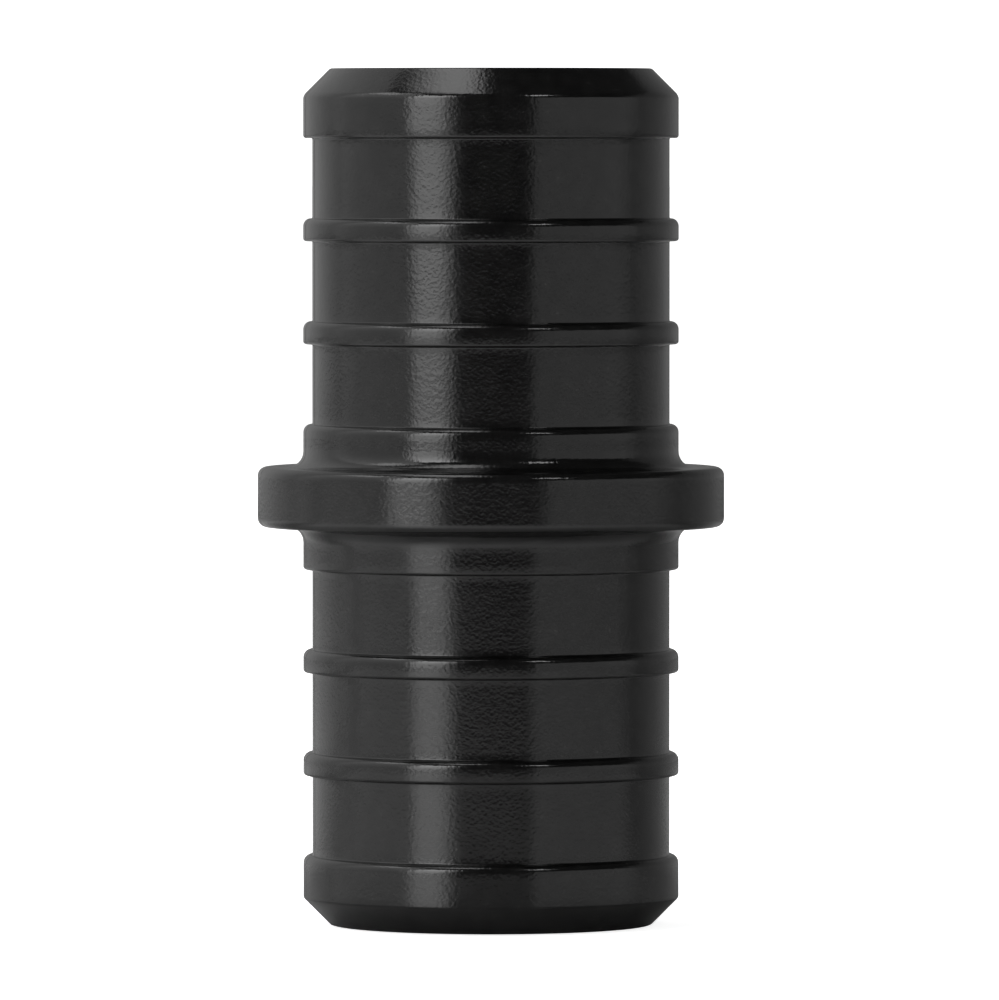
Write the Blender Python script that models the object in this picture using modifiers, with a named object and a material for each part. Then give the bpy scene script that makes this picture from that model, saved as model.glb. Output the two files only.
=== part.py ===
"""Insert coupling for 1 inch plastic pipe: one hollow injection moulding, turned about Z.

A stop flange stands in the middle. On each side of it is a spigot that the pipe is pushed over: a shoulder
collar against the flange, two narrow sealing ribs, and a wide lead barb with a 45 degree chamfer at the end.
A plain bore runs right through. The frame's origin is the middle of the flange, on the bore's axis.

Lengths are in metres. Outlines are lists of (radius, height) points, run down the outside and up the bore.
"""

import math

import bpy

MM = 0.001

# The pipe's size sets the diameters
RIB_RADIUS = 13.2 * MM
BARREL_RADIUS = 12.56 * MM
FLANGE_RADIUS = 16.4 * MM
BORE_MOUTH_RADIUS = 9.9 * MM
BORE_WAIST_RADIUS = 9.75 * MM

# Lengths along the axis
SPIGOT_LENGTH = 28.0 * MM
FLANGE_THICKNESS = 4.2 * MM
SHOULDER_LENGTH = 3.0 * MM
RIB_WIDTH = 1.6 * MM
LEAD_BARB_LENGTH = 4.9 * MM
LEAD_CHAMFER = 1.9 * MM
RIBS_PER_SPIGOT = 2

# Edges: on both spigots the upper edge of a rib is rounder than its lower edge
UPPER_EDGE_ROUND = 0.58 * MM
LOWER_EDGE_ROUND = 0.36 * MM
FLANGE_EDGE_ROUND = 0.65 * MM
FLANGE_FILLET = 1.1 * MM
BORE_LIP_ROUND = 0.3 * MM

# Fineness of the mesh
TURN_STEPS = 64
ARC_STEPS = 2
SHARP_ANGLE = math.radians(30)
MERGE_DISTANCE = 0.01 * MM

HALF_FLANGE = FLANGE_THICKNESS / 2
HALF_LENGTH = HALF_FLANGE + SPIGOT_LENGTH
RIBBED_LENGTH = SPIGOT_LENGTH - SHOULDER_LENGTH - LEAD_BARB_LENGTH
LAND_LENGTH = (RIBBED_LENGTH - RIBS_PER_SPIGOT * RIB_WIDTH) / (RIBS_PER_SPIGOT + 1)


def raised_band(top, bottom):
    """Corners of a band that stands proud of the barrel between two heights, as (radius, height, round)."""
    return [
        (BARREL_RADIUS, top, 0),
        (RIB_RADIUS, top, UPPER_EDGE_ROUND),
        (RIB_RADIUS, bottom, LOWER_EDGE_ROUND),
        (BARREL_RADIUS, bottom, 0),
    ]


def rib_heights():
    """Heights of the middles of one spigot's ribs above the flange's middle, from the flange outwards."""
    first = HALF_FLANGE + SHOULDER_LENGTH + LAND_LENGTH + RIB_WIDTH / 2
    return [first + index * (LAND_LENGTH + RIB_WIDTH) for index in range(RIBS_PER_SPIGOT)]


def ribs(side):
    """Corners of one spigot's ribs, from the top one down. side is 1 above the flange and -1 below it."""
    corners = []
    for middle in sorted((side * height for height in rib_heights()), reverse=True):
        corners += raised_band(middle + RIB_WIDTH / 2, middle - RIB_WIDTH / 2)
    return corners


def outer_corners():
    """Corners of the whole outer outline, from the upper end face down to the lower one."""
    end_face_radius = RIB_RADIUS - LEAD_CHAMFER
    barb_top = HALF_LENGTH - LEAD_CHAMFER
    barb_foot = HALF_LENGTH - LEAD_BARB_LENGTH
    shoulder_top = HALF_FLANGE + SHOULDER_LENGTH
    return [
        (end_face_radius, HALF_LENGTH, 0),
        (RIB_RADIUS, barb_top, 0),
        (RIB_RADIUS, barb_foot, LOWER_EDGE_ROUND),
        (BARREL_RADIUS, barb_foot, 0),
        *ribs(1),
        (BARREL_RADIUS, shoulder_top, 0),
        (RIB_RADIUS, shoulder_top, UPPER_EDGE_ROUND),
        (RIB_RADIUS, HALF_FLANGE, FLANGE_FILLET),
        (FLANGE_RADIUS, HALF_FLANGE, FLANGE_EDGE_ROUND),
        (FLANGE_RADIUS, -HALF_FLANGE, FLANGE_EDGE_ROUND),
        (RIB_RADIUS, -HALF_FLANGE, FLANGE_FILLET),
        (RIB_RADIUS, -shoulder_top, LOWER_EDGE_ROUND),
        (BARREL_RADIUS, -shoulder_top, 0),
        *ribs(-1),
        (BARREL_RADIUS, -barb_foot, 0),
        (RIB_RADIUS, -barb_foot, UPPER_EDGE_ROUND),
        (RIB_RADIUS, -barb_top, 0),
        (end_face_radius, -HALF_LENGTH, 0),
    ]


def bore_corners():
    """Corners of the bore, from the lower mouth up. It narrows slightly towards its waist, as moulded draft."""
    return [
        (BORE_MOUTH_RADIUS, -HALF_LENGTH, BORE_LIP_ROUND),
        (BORE_WAIST_RADIUS, 0, 0),
        (BORE_MOUTH_RADIUS, HALF_LENGTH, BORE_LIP_ROUND),
    ]


def rounded_corner(before, corner, after, radius):
    """The points of the arc that touches both straight runs at a corner."""
    to_before = (before[0] - corner[0], before[1] - corner[1])
    to_after = (after[0] - corner[0], after[1] - corner[1])
    angle_before = math.atan2(to_before[1], to_before[0])
    turn = math.remainder(math.atan2(to_after[1], to_after[0]) - angle_before, math.tau)
    half = abs(turn) / 2
    bisector = angle_before + turn / 2
    centre_distance = radius / math.sin(half)
    centre_x = corner[0] + centre_distance * math.cos(bisector)
    centre_z = corner[1] + centre_distance * math.sin(bisector)
    sweep = math.copysign(math.pi - 2 * half, turn)
    points = []
    for step in range(ARC_STEPS + 1):
        angle = bisector + math.pi + sweep * (0.5 - step / ARC_STEPS)
        points.append((centre_x + radius * math.cos(angle), centre_z + radius * math.sin(angle)))
    return points


def closed_outline():
    """The whole section as one closed loop of points, with its round edges as arcs."""
    corners = outer_corners() + bore_corners()
    points = []
    for index, corner in enumerate(corners):
        if corner[2]:
            after = corners[(index + 1) % len(corners)]
            points += rounded_corner(corners[index - 1], corner, after, corner[2])
        else:
            points.append(corner[:2])
    return points


def moulded_polymer():
    """Black engineering polymer, semi-gloss as it leaves the mould."""
    material = bpy.data.materials.new("moulded_polymer")
    material.use_nodes = True
    surface = material.node_tree.nodes["Principled BSDF"]
    surface.inputs["Base Color"].default_value = (0.012, 0.012, 0.012, 1)
    surface.inputs["Roughness"].default_value = 0.38
    surface.inputs["Metallic"].default_value = 0
    return material


def turned(name, outline):
    """A closed outline at +X, turned about Z by a Screw modifier, smooth but for its sharp corners."""
    mesh = bpy.data.meshes.new(name + "_outline")
    points = [(radius, 0, height) for radius, height in outline]
    edges = [(index, (index + 1) % len(points)) for index in range(len(points))]
    mesh.from_pydata(points, edges, [])
    guide = bpy.data.objects.new(name + "_outline", mesh)
    bpy.context.scene.collection.objects.link(guide)
    turn = guide.modifiers.new("turn", "SCREW")
    turn.axis = "Z"
    turn.steps = TURN_STEPS
    turn.render_steps = TURN_STEPS
    turn.use_merge_vertices = True
    turn.merge_threshold = MERGE_DISTANCE
    solid = bpy.data.meshes.new_from_object(guide.evaluated_get(bpy.context.evaluated_depsgraph_get()))
    bpy.data.objects.remove(guide, do_unlink=True)
    solid.shade_smooth()
    solid.set_sharp_from_angle(angle=SHARP_ANGLE)
    return bpy.data.objects.new(name, solid)


def main():
    for old in list(bpy.data.objects):
        bpy.data.objects.remove(old, do_unlink=True)
    parts = bpy.data.collections.new("insert_coupling")
    bpy.context.scene.collection.children.link(parts)
    body = turned("coupling_body", closed_outline())
    body.data.materials.append(moulded_polymer())
    parts.objects.link(body)


main()
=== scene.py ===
"""Looks of the insert coupling: one moulding in black engineering polymer, standing on a plain pale floor.

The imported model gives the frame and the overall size. The moulding's surface is turned here again from the same
outline as the CAD solid's, with the fine rounds, root fillets, parting lines and tool marks that the CAD leaves
out. Lengths are in metres, angles in degrees unless a name says otherwise.
"""

import math

import bpy
import numpy as np
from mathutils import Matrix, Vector

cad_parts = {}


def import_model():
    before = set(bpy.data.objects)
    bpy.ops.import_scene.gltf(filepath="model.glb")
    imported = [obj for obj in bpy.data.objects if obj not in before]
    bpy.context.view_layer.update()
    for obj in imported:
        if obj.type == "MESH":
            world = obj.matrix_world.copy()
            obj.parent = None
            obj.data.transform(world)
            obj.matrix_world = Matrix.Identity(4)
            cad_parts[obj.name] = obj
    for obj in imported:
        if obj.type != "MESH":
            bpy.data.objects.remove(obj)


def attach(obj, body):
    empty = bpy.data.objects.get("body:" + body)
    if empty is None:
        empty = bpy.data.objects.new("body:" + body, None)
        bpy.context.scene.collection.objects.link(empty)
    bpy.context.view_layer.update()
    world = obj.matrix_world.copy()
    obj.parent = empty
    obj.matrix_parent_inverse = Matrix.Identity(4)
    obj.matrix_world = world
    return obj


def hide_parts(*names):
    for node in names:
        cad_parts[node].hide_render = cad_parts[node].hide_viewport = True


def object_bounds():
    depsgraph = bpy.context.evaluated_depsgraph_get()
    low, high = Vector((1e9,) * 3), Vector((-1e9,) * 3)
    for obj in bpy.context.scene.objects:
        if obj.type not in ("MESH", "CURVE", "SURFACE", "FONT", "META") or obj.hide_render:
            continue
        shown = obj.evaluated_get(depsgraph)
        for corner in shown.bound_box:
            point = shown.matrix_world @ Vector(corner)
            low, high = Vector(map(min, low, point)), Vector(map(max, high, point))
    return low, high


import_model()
cad_low, cad_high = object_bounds()

MM = 0.001

# Sizes the frame gives
FLANGE_RADIUS = cad_high.x
HALF_LENGTH = cad_high.z
FLOOR_HEIGHT = cad_low.z

# Sizes that repeat the CAD model's
RIB_RADIUS = 13.2 * MM
BARREL_RADIUS = 12.56 * MM
BORE_MOUTH_RADIUS = 9.9 * MM
BORE_WAIST_RADIUS = 9.75 * MM
HALF_FLANGE = 2.1 * MM
SPIGOT_LENGTH = HALF_LENGTH - HALF_FLANGE
SHOULDER_LENGTH = 3.0 * MM
RIB_WIDTH = 1.6 * MM
LEAD_BARB_LENGTH = 4.9 * MM
LEAD_CHAMFER = 1.9 * MM
LAND_LENGTH = (SPIGOT_LENGTH - SHOULDER_LENGTH - LEAD_BARB_LENGTH - 2 * RIB_WIDTH) / 3

# Finer features, which only the looks need. A bend is how far a round reaches along the run before
# its corner and along the run after it, going down the outside.
UPPER_ROOT = (0.1 * MM, 0.08 * MM)
UPPER_EDGE = (0.52 * MM, 0.56 * MM)
LOWER_EDGE = (0.2 * MM, 0.22 * MM)
LOWER_ROOT = (0.1 * MM, 0.1 * MM)
LEAD_EDGE = (0.3 * MM, 0.22 * MM)
FLANGE_ROOT = (1.1 * MM, 1.1 * MM)
FLANGE_EDGE = (0.6 * MM, 0.6 * MM)
CRISP_EDGE = (0.12 * MM, 0.12 * MM)
BORE_LIP = (0.3 * MM, 0.3 * MM)
SHUTOFF_RIDGE = 0.03 * MM
SHUTOFF_WIDTH = 0.12 * MM

# Mould marks on the outside: two parting lines, and the dished spot on the rim where the gate was cut off.
# The gate's angle is from +X, counterclockwise seen from above, and the other parting line is opposite.
GATE_ANGLE = 10
GATE_RADIUS = 0.9 * MM
GATE_DEPTH = 0.12 * MM
GATE_STUB_RADIUS = 0.45 * MM
GATE_STUB_SHARE = 0.7
GATE_EDGE = 0.15 * MM
PARTING_HEIGHT = 0.03 * MM
PARTING_WIDTH = 0.1 * MM

# Fineness of the mesh. The turn is cut finer across the gate and the parting lines: a spread is how far, in
# degrees to either side, and in how many cuts.
BEND_STEPS = 8
RUN_STEP = 0.6 * MM
RIM_STEP = 0.12 * MM
TURN_STEP = 2.5
GATE_SPREAD, GATE_CUTS = 3.6, 24
LINE_SPREAD, LINE_CUTS = 0.75, 10

# The polymer's surface. A scale is the number of the texture's cells in a metre.
POLYMER_IOR = 1.5
WANDER_SCALE = 2500
WANDER_REACH = 0.3 * MM
PEBBLE_SCALE = 3700
PEBBLE_SMOOTHNESS = 0.45
GRAIN_SCALE = 7000
GRAIN_SHARE = 0.5
SKIN_DEPTH = 0.0075 * MM
PATCH_SCALE = 260
GLOSSY, DULL = 0.11, 0.17
SPECK_SCALE = 900
SPECK_COLOR = (0.013, 0.013, 0.0125, 1)
SPECK_RIM_COLOR = (0.0035, 0.0035, 0.0034, 1)
POLYMER_COLOR = (0.0015, 0.0015, 0.0015, 1)

# The stage. A ramp's stops are pairs of a length in millimetres and a grey.
TABLE_RADIUS = 800 * MM
TABLE_IOR = 1.6
TABLE_ROUGHNESS = 0.15
# Painted shade in the table top's colour: a painted shadow round and just behind the object, and painted falloff
# away from the key and towards the front
TABLE_SHADOW = ((16, 0.27), (35, 0.5), (70, 0.95), (120, 1))
TABLE_PAINTED_FALLOFF = ((-150, 1), (0, 0.9), (250, 0.35))
AWAY_FROM_KEY = (0.6, 0.8, 0)
TABLE_FRONT_PAINTED_SHADE = ((-800, 0.25), (-220, 1))
TABLE_BEHIND_PAINTED_SHADOW = ((0, 1), (30, 0.25), (60, 0.45), (130, 1))
FLOOR_SIZE = 20
FLOOR_GAP = 0.1 * MM
FLOOR_GREY = 0.8
FLOOR_EMISSION = 1.1
# The floor's painted glow by distance from the object: dimmer near it, a painted shadow
FLOOR_GLOW_AND_PAINTED_SHADOW = ((30, 0.8), (400, 1))
FILL_LENGTH = 0.55
FILL_DISTANCE = 0.33
FILL_FADES = (0.3, 0.3)
LAMP_FADES = (0.1, 0.1)
BACKDROP_WHITE = 1.4
DIM_ROOM = 0.042

# The camera
LENS = 431.7
SENSOR_WIDTH = 36
CAMERA_PLACE = (0.6 * MM, -843 * MM, HALF_LENGTH - 3.94 * MM)
CAMERA_TILT = 1.794


# ---------------------------------------------------------------- outline

def raised_band(top, bottom):
    """Corners of a band that stands proud of the barrel between two heights, as (radius, height, bend)."""
    return [
        (BARREL_RADIUS, top, UPPER_ROOT),
        (RIB_RADIUS, top, UPPER_EDGE),
        (RIB_RADIUS, bottom, LOWER_EDGE),
        (BARREL_RADIUS, bottom, LOWER_ROOT),
    ]


def ribs(side):
    """Corners of one spigot's two ribs, from the top one down. side is 1 above the flange and -1 below it."""
    near = HALF_FLANGE + SHOULDER_LENGTH + LAND_LENGTH + RIB_WIDTH / 2
    far = near + LAND_LENGTH + RIB_WIDTH
    corners = []
    for middle in sorted((side * near, side * far), reverse=True):
        corners += raised_band(middle + RIB_WIDTH / 2, middle - RIB_WIDTH / 2)
    return corners


def outer_corners():
    """Corners of the outer outline, from the upper end face down to the lower one."""
    end_face_radius = RIB_RADIUS - LEAD_CHAMFER
    barb_top = HALF_LENGTH - LEAD_CHAMFER
    barb_foot = HALF_LENGTH - LEAD_BARB_LENGTH
    shoulder_top = HALF_FLANGE + SHOULDER_LENGTH
    return [
        (end_face_radius, HALF_LENGTH, CRISP_EDGE),
        (RIB_RADIUS, barb_top, LEAD_EDGE),
        (RIB_RADIUS, barb_foot, LOWER_EDGE),
        (BARREL_RADIUS, barb_foot, LOWER_ROOT),
        *ribs(1),
        (BARREL_RADIUS, shoulder_top, UPPER_ROOT),
        (RIB_RADIUS, shoulder_top, UPPER_EDGE),
        (RIB_RADIUS, HALF_FLANGE, FLANGE_ROOT),
        (FLANGE_RADIUS, HALF_FLANGE, FLANGE_EDGE),
        (FLANGE_RADIUS, -HALF_FLANGE, FLANGE_EDGE),
        (RIB_RADIUS, -HALF_FLANGE, FLANGE_ROOT),
        (RIB_RADIUS, -shoulder_top, LOWER_EDGE),
        (BARREL_RADIUS, -shoulder_top, LOWER_ROOT),
        *ribs(-1),
        (BARREL_RADIUS, -barb_foot, UPPER_ROOT),
        (RIB_RADIUS, -barb_foot, UPPER_EDGE),
        (RIB_RADIUS, -barb_top, CRISP_EDGE),
        (end_face_radius, -HALF_LENGTH, CRISP_EDGE),
    ]


def bore_corners():
    """Corners of the bore, from the lower mouth up, with the fine ridge where the two core pins met."""
    return [
        (BORE_MOUTH_RADIUS, -HALF_LENGTH, BORE_LIP),
        (BORE_WAIST_RADIUS, -SHUTOFF_WIDTH, None),
        (BORE_WAIST_RADIUS - SHUTOFF_RIDGE, 0, None),
        (BORE_WAIST_RADIUS, SHUTOFF_WIDTH, None),
        (BORE_MOUTH_RADIUS, HALF_LENGTH, BORE_LIP),
    ]


def bend_points(before, corner, after, bend):
    """The points of a bend, a quarter of an ellipse where the runs meet at a right angle."""
    start = toward(corner, before, bend[0])
    end = toward(corner, after, bend[1])
    points = []
    for step in range(BEND_STEPS + 1):
        angle = math.pi / 2 * step / BEND_STEPS
        to_start, to_end = 1 - math.sin(angle), 1 - math.cos(angle)
        points.append(corner + to_start * (start - corner) + to_end * (end - corner))
    return points


def toward(start, target, distance):
    """The point at a distance from start on the way to target."""
    way = target - start
    return start + way * distance / np.linalg.norm(way)


def closed_outline():
    """The whole section as one closed loop of (radius, height) points, with straight runs cut short."""
    corners = outer_corners() + bore_corners()
    places = [np.array(corner[:2]) for corner in corners]
    bends = []
    for index, (_, _, bend) in enumerate(corners):
        if bend:
            after = places[(index + 1) % len(places)]
            bends += bend_points(places[index - 1], places[index], after, bend)
        else:
            bends.append(places[index])
    points = []
    for start, end in zip(bends, bends[1:] + bends[:1]):
        on_rim = min(start[0], end[0]) >= FLANGE_RADIUS
        cuts = max(1, math.ceil(np.linalg.norm(end - start) / (RIM_STEP if on_rim else RUN_STEP)))
        points += [start + (end - start) * cut / cuts for cut in range(cuts)]
    return np.array(points)


# ---------------------------------------------------------------- moulding

def turn_angles():
    """Angles round the axis, in radians: even steps, and finer ones across the gate and the parting lines."""
    even = np.arange(0, 360, TURN_STEP)
    across_gate = GATE_ANGLE + np.linspace(-GATE_SPREAD, GATE_SPREAD, GATE_CUTS + 1)
    across_line = np.linspace(-LINE_SPREAD, LINE_SPREAD, LINE_CUTS + 1)
    angles = np.concatenate((even, across_gate, GATE_ANGLE + across_line, GATE_ANGLE + 180 + across_line))
    return np.radians(np.unique(angles.round(3)))


def plateau(distance, radius):
    """1 within a radius and 0 outside it, with a smooth edge."""
    share = np.clip((radius - distance) / GATE_EDGE, 0, 1)
    return share * share * (3 - 2 * share)


def mould_marks(radii, heights, angles):
    """How far each point of the grid stands out from the plain turned shape."""
    turns = angles - math.radians(GATE_ANGLE)
    from_line = np.abs(np.sin(turns))[:, None] * radii
    ridge = PARTING_HEIGHT * np.exp(-(from_line / PARTING_WIDTH) ** 2)
    ridge = np.minimum(ridge, FLANGE_RADIUS - radii) * (radii > RIB_RADIUS - LEAD_CHAMFER)
    from_gate = np.hypot(np.angle(np.exp(1j * turns))[:, None] * radii, heights)
    stub = GATE_STUB_SHARE * plateau(from_gate, GATE_STUB_RADIUS)
    dish = GATE_DEPTH * (stub - plateau(from_gate, GATE_RADIUS))
    return ridge + dish * (radii >= FLANGE_RADIUS)


def moulding(name):
    """The moulding's surface: the outline turned about Z, with the marks that the mould left on it."""
    outline = closed_outline()
    angles = turn_angles()
    heights = outline[:, 1]
    radii = outline[:, 0] + mould_marks(outline[:, 0], heights, angles)
    x = radii * np.cos(angles)[:, None]
    y = radii * np.sin(angles)[:, None]
    z = np.broadcast_to(heights, x.shape)
    points = np.stack((x, y, z), axis=-1).reshape(-1, 3)
    around, along = len(angles), len(outline)
    faces = []
    for i in range(around):
        here, there = i * along, (i + 1) % around * along
        for j in range(along):
            k = (j + 1) % along
            faces.append((here + j, here + k, there + k, there + j))
    mesh = bpy.data.meshes.new(name)
    mesh.from_pydata(points.tolist(), [], faces)
    mesh.shade_smooth()
    piece = bpy.data.objects.new(name, mesh)
    bpy.context.scene.collection.objects.link(piece)
    return piece


# ---------------------------------------------------------------- materials

def node(tree, kind, inputs, **settings):
    """A new node, with each input socket set to a value or linked to another node's output."""
    new = tree.nodes.new("ShaderNode" + kind)
    for name, value in settings.items():
        setattr(new, name, value)
    for name, value in inputs.items():
        if isinstance(value, bpy.types.NodeSocket):
            tree.links.new(value, new.inputs[name])
        else:
            new.inputs[name].default_value = value
    return new


def object_place(tree):
    """The place in the object's own space, in metres."""
    return node(tree, "TexCoord", {}).outputs["Object"]


def color_ramp(tree, source, stops):
    """A ramp of colours over a source from 0 to 1. The stops are pairs of a position and a colour, in order."""
    ramp = node(tree, "ValToRGB", {"Fac": source})
    elements = ramp.color_ramp.elements
    while len(elements) < len(stops):
        elements.new(0.5)
    for element, (position, color) in zip(elements, stops):
        element.position = position
        element.color = color
    return ramp.outputs["Color"]


def grey_ramp(tree, source, stops):
    """A ramp of greys over a length. The stops are pairs of a length in millimetres and a grey, in order."""
    low, high = stops[0][0] * MM, stops[-1][0] * MM
    share = node(tree, "MapRange", {"Value": source, "From Min": low, "From Max": high})
    shares = [((length * MM - low) / (high - low), (grey, grey, grey, 1)) for length, grey in stops]
    return color_ramp(tree, share.outputs[0], shares)


def moulded_polymer():
    """Black engineering polymer as it leaves the mould: glossy, with a fine leathery orange peel."""
    material = bpy.data.materials.new("moulded_polymer")
    material.use_nodes = True
    tree = material.node_tree
    surface = tree.nodes["Principled BSDF"]
    surface.inputs["IOR"].default_value = POLYMER_IOR
    place = object_place(tree)

    # The place shifted a little this way and that, so that the cells aren't regular
    wander = node(tree, "TexNoise", {"Vector": place, "Scale": WANDER_SCALE, "Detail": 2})
    drift = node(tree, "VectorMath", {0: wander.outputs["Color"], 1: (WANDER_REACH,) * 3, 2: place},
                 operation="MULTIPLY_ADD").outputs[0]

    # Pebbles about 0.3 mm across with creases between them, under a finer grain
    cells = {"Vector": drift, "Scale": PEBBLE_SCALE, "Smoothness": PEBBLE_SMOOTHNESS}
    pebbles = node(tree, "TexVoronoi", cells, feature="SMOOTH_F1")
    grain = node(tree, "TexNoise", {"Vector": place, "Scale": GRAIN_SCALE, "Detail": 1})
    skin = node(tree, "Math", {0: grain.outputs["Fac"], 1: GRAIN_SHARE, 2: pebbles.outputs["Distance"]},
                operation="MULTIPLY_ADD")
    bump = node(tree, "Bump", {"Distance": SKIN_DEPTH, "Height": skin.outputs[0]})
    tree.links.new(bump.outputs["Normal"], surface.inputs["Normal"])

    # Patches that moulded a little glossier or duller
    patches = node(tree, "TexNoise", {"Vector": place, "Scale": PATCH_SCALE, "Detail": 4})
    gloss = node(tree, "MapRange", {"Value": patches.outputs["Fac"], "From Min": 0.35, "From Max": 0.65,
                                    "To Min": GLOSSY, "To Max": DULL})
    tree.links.new(gloss.outputs[0], surface.inputs["Roughness"])

    # Pale specks of dust and filler, each with a faint rim, in a darker ground
    specks = node(tree, "TexVoronoi", {"Vector": drift, "Scale": SPECK_SCALE})
    stops = ((0.04, SPECK_COLOR), (0.09, SPECK_RIM_COLOR), (0.9, POLYMER_COLOR))
    tone = color_ramp(tree, specks.outputs["Distance"], stops)
    tree.links.new(tone, surface.inputs["Base Color"])
    return material


def floor_painted_glow():
    """Plain pale floor with a painted glow, dimmer near the object as painted shade, so that only a faint shadow
    shows.
    """
    material = bpy.data.materials.new("floor_painted_glow")
    material.use_nodes = True
    tree = material.node_tree
    surface = tree.nodes["Principled BSDF"]
    surface.inputs["Base Color"].default_value = (FLOOR_GREY, FLOOR_GREY, FLOOR_GREY, 1)
    surface.inputs["Roughness"].default_value = 1
    surface.inputs["Specular IOR Level"].default_value = 0
    surface.inputs["Emission Strength"].default_value = FLOOR_EMISSION
    # Painted glow: the ramp dims the emission near the object, a painted shadow
    distance = node(tree, "VectorMath", {0: object_place(tree)}, operation="LENGTH")
    glow = grey_ramp(tree, distance.outputs["Value"], FLOOR_GLOW_AND_PAINTED_SHADOW)
    tree.links.new(glow, surface.inputs["Emission Color"])
    return material


def table_lacquer_painted_shade():
    """Glossy white table top with painted shade in its colour: a painted soft shadow round the object, darkest
    just behind it, and painted falloff towards the back right, away from the key, and towards the dark end behind
    the camera."""
    material = bpy.data.materials.new("table_lacquer_painted_shade")
    material.use_nodes = True
    tree = material.node_tree
    surface = tree.nodes["Principled BSDF"]
    surface.inputs["IOR"].default_value = TABLE_IOR
    surface.inputs["Roughness"].default_value = TABLE_ROUGHNESS
    place = object_place(tree)
    distance = node(tree, "VectorMath", {0: place}, operation="LENGTH").outputs["Value"]
    away = node(tree, "VectorMath", {0: place, 1: AWAY_FROM_KEY}, operation="DOT_PRODUCT").outputs["Value"]
    depth = node(tree, "SeparateXYZ", {0: place}).outputs["Y"]
    # The top's colour is all painted shade: the painted shadow ramp times the painted falloff ramps
    tone = grey_ramp(tree, distance, TABLE_SHADOW)
    for source, stops in ((away, TABLE_PAINTED_FALLOFF), (depth, TABLE_FRONT_PAINTED_SHADE), (depth, TABLE_BEHIND_PAINTED_SHADOW)):
        shade = grey_ramp(tree, source, stops)
        tone = node(tree, "Math", {0: tone, 1: shade}, operation="MULTIPLY").outputs[0]
    tree.links.new(tone, surface.inputs["Base Color"])
    return material


# ---------------------------------------------------------------- studio

def camera():
    """A long lens at the height of the upper lead barb, tilted down a little."""
    data = bpy.data.cameras.new("camera")
    data.sensor_width = SENSOR_WIDTH
    data.lens = LENS
    data.clip_start = 0.01
    data.clip_end = 50
    view = bpy.data.objects.new("camera", data)
    view.location = CAMERA_PLACE
    view.rotation_euler = (math.radians(90 - CAMERA_TILT), 0, 0)
    bpy.context.scene.collection.objects.link(view)
    bpy.context.scene.camera = view


def direction(azimuth, elevation):
    """A direction from the object. Azimuth 0 is the camera's side and 90 is the right, +X."""
    turn, lift = math.radians(azimuth), math.radians(elevation)
    return Vector((math.sin(turn) * math.cos(lift), -math.cos(turn) * math.cos(lift), math.sin(lift)))


def facing(light, towards, distance):
    """Put a light at a distance from the origin, facing it with its own Y axis upright."""
    light.location = towards * distance
    light.rotation_mode = "QUATERNION"
    light.rotation_quaternion = towards.to_track_quat("Z", "Y")


def panel(name, size, radiances, fades):
    """A rectangular light that the camera doesn't see, with a width and a height in metres. Its radiance goes
    from the first value at the bottom edge to the second at the top edge. It fades in and out over the stretches
    of its width, as shares of it, at its left and right edges as the object sees them."""
    width, height = size
    data = bpy.data.lights.new(name, "AREA")
    data.shape = "RECTANGLE"
    data.size = width
    data.size_y = height
    data.energy = math.pi * width * height
    data.use_nodes = True
    tree = data.node_tree
    place = node(tree, "NewGeometry", {}).outputs["Parametric"]
    split = node(tree, "SeparateXYZ", {0: place})
    low, high = radiances
    level = node(tree, "MapRange", {"Value": split.outputs["Y"], "To Min": low, "To Max": high})
    for dark, bright in ((0, fades[0]), (1, 1 - fades[1])):
        fade = node(tree, "MapRange", {"Value": split.outputs["X"], "From Min": dark, "From Max": bright},
                    interpolation_type="SMOOTHSTEP")
        level = node(tree, "Math", {0: level.outputs[0], 1: fade.outputs[0]}, operation="MULTIPLY")
    tree.links.new(level.outputs[0], tree.nodes["Emission"].inputs["Strength"])
    light = bpy.data.objects.new(name, data)
    light.visible_camera = False
    bpy.context.scene.collection.objects.link(light)
    return light


def wall(name, azimuths, distance, heights, radiances, fades):
    """An upright panel between two azimuths and between two heights."""
    start, end = azimuths
    bottom, top = heights
    half = math.radians(end - start) / 2
    light = panel(name, (2 * distance * math.tan(half), top - bottom), radiances, fades)
    facing(light, direction((start + end) / 2, 0), distance)
    light.location.z = (bottom + top) / 2


def ceiling(name, x_range, y_range, height, radiance, fades):
    """A level panel that shines down from a height, over a range along X and a range along Y."""
    left, right = x_range
    front, back = y_range
    light = panel(name, (right - left, back - front), (radiance, radiance), fades)
    light.location = ((left + right) / 2, (front + back) / 2, height)


def lamp(name, azimuth, elevation, distance, size, radiance):
    """A small panel that faces the object."""
    light = panel(name, size, (radiance, radiance), LAMP_FADES)
    facing(light, direction(azimuth, elevation), distance)


def table_fill(name, azimuth, width, height, radiance):
    """A strip over the table along one azimuth, lengthwise towards the object, that shines down there and doesn't
    show in reflections.
    """
    light = panel(name, (width, FILL_LENGTH), (radiance, radiance), FILL_FADES)
    light.location = direction(azimuth, 0) * FILL_DISTANCE + Vector((0, 0, height))
    light.rotation_euler = (0, 0, math.radians(azimuth))
    light.visible_glossy = False


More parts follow.
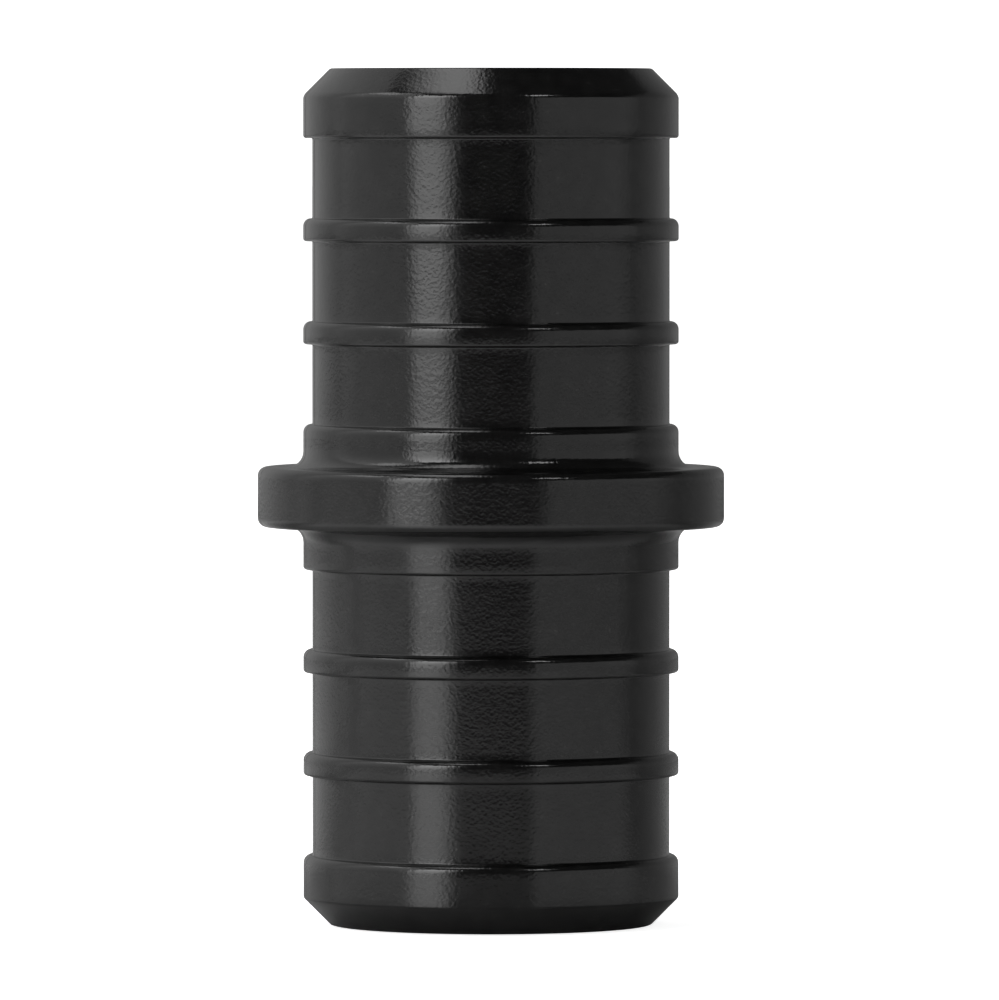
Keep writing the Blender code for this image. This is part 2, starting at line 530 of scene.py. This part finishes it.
def studio():
    """A bright key on the left front, pale walls on both sides, a skylight on the left, a low card behind the
    camera, and small lamps for the glints."""
    wall("key", azimuths=(-58, -19), distance=0.82, heights=(-0.02, 0.75), radiances=(3, 6.5),
         fades=(0.34, 0.42))
    wall("left_wall", azimuths=(-114, -55), distance=0.9, heights=(-0.03, 1.5), radiances=(0.74, 1.6),
         fades=(0.15, 0.03))
    wall("back_wall", azimuths=(-196, -106), distance=0.9, heights=(-0.03, 1.6), radiances=(0.6, 0.65),
         fades=(0.7, 0.12))
    wall("right_card", azimuths=(24, 104), distance=0.82, heights=(-0.03, 0.29), radiances=(0.57, 0.57),
         fades=(0.08, 0.25))
    wall("right_wall", azimuths=(92, 182), distance=0.9, heights=(-0.03, 0.6), radiances=(0.27, 0.1),
         fades=(0.12, 0.4))
    ceiling("skylight", x_range=(-0.55, 0), y_range=(-0.45, 0.4), height=1, radiance=2.7, fades=(0.6, 0.25))
    lamp("left_lamp", azimuth=-88, elevation=50, distance=0.8, size=(0.3, 0.12), radiance=1.7)
    lamp("lamp", azimuth=36, elevation=44, distance=0.8, size=(0.16, 0.1), radiance=7)
    wall("front_card", azimuths=(-22, 26), distance=0.9, heights=(-0.03, -0.006), radiances=(0.13, 0.02),
         fades=(0.1, 0.1))
    table_fill("table_fill_key", azimuth=-31, width=0.06, height=0.1, radiance=2.6)
    table_fill("table_fill_left", azimuth=-88, width=0.16, height=0.2, radiance=1.8)
    table_fill("table_fill_right", azimuth=36, width=0.06, height=0.1, radiance=1)


def world():
    """White for the camera, and a dim room in the reflections."""
    room = bpy.data.worlds.new("studio")
    bpy.context.scene.world = room
    room.use_nodes = True
    room.cycles.sampling_method = "NONE"
    tree = room.node_tree
    tree.nodes.clear()
    white = node(tree, "Background", {"Color": (1, 1, 1, 1), "Strength": BACKDROP_WHITE})
    dim = node(tree, "Background", {"Color": (DIM_ROOM, DIM_ROOM, DIM_ROOM, 1)})
    path = node(tree, "LightPath", {})
    mix = node(tree, "MixShader", {0: path.outputs["Is Camera Ray"], 1: dim.outputs[0], 2: white.outputs[0]})
    node(tree, "OutputWorld", {"Surface": mix.outputs[0]})


def floor():
    """A plain pale floor under the lower end face, and a glossy table top that only shows in the reflections."""
    bpy.ops.mesh.primitive_plane_add(size=FLOOR_SIZE, location=(0, 0, FLOOR_HEIGHT - FLOOR_GAP))
    plane = bpy.context.object
    plane.name = "floor"
    plane.data.materials.append(floor_painted_glow())
    plane.visible_glossy = False
    bpy.ops.mesh.primitive_circle_add(radius=TABLE_RADIUS, fill_type="NGON", location=(0, 0, FLOOR_HEIGHT))
    table = bpy.context.object
    table.name = "table"
    table.data.materials.append(table_lacquer_painted_shade())
    table.visible_camera = False
    table.visible_diffuse = False
    table.visible_shadow = False


def main():
    camera()
    body = moulding("coupling_moulding")
    body.data.materials.append(moulded_polymer())
    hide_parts("coupling_body")
    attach(body, "root")
    floor()
    studio()
    world()
    bpy.context.scene.view_settings.view_transform = "Standard"


main()
